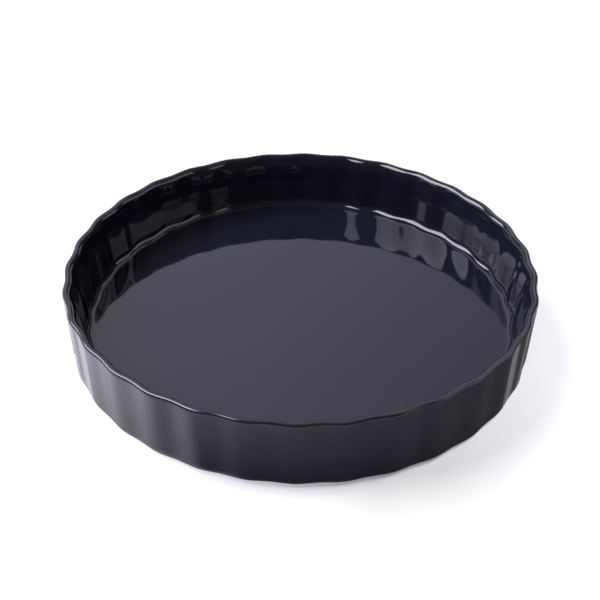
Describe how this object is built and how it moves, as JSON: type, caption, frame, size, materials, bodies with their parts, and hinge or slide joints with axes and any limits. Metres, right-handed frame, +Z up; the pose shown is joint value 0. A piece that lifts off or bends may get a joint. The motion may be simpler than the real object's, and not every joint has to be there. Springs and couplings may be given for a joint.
{
  "type": "pie dish",
  "caption": "Round shallow ceramic pie dish with a fluted wall that flares to a rounded lip, a flat floor and a bare foot ring, for baking and serving tarts.",
  "frame": {"origin": "middle of the plane that the foot ring stands on", "axes": "+Z up along the dish's axis, out of its mouth; one flute crest faces -Y"},
  "size_m": [0.28, 0.28, 0.046],
  "materials": {
    "bare_stoneware": "unglazed fired clay, matt, with fine specks",
    "navy_glaze": "very dark navy gloss glaze",
    "underside_navy_glaze": "very dark navy gloss glaze, a little duller"
  },
  "bodies": {
    "root": {"stoneware_body": "bare_stoneware", "glaze_coat": "navy_glaze", "underside_glaze": "underside_navy_glaze"}
  },
  "joints": []
}
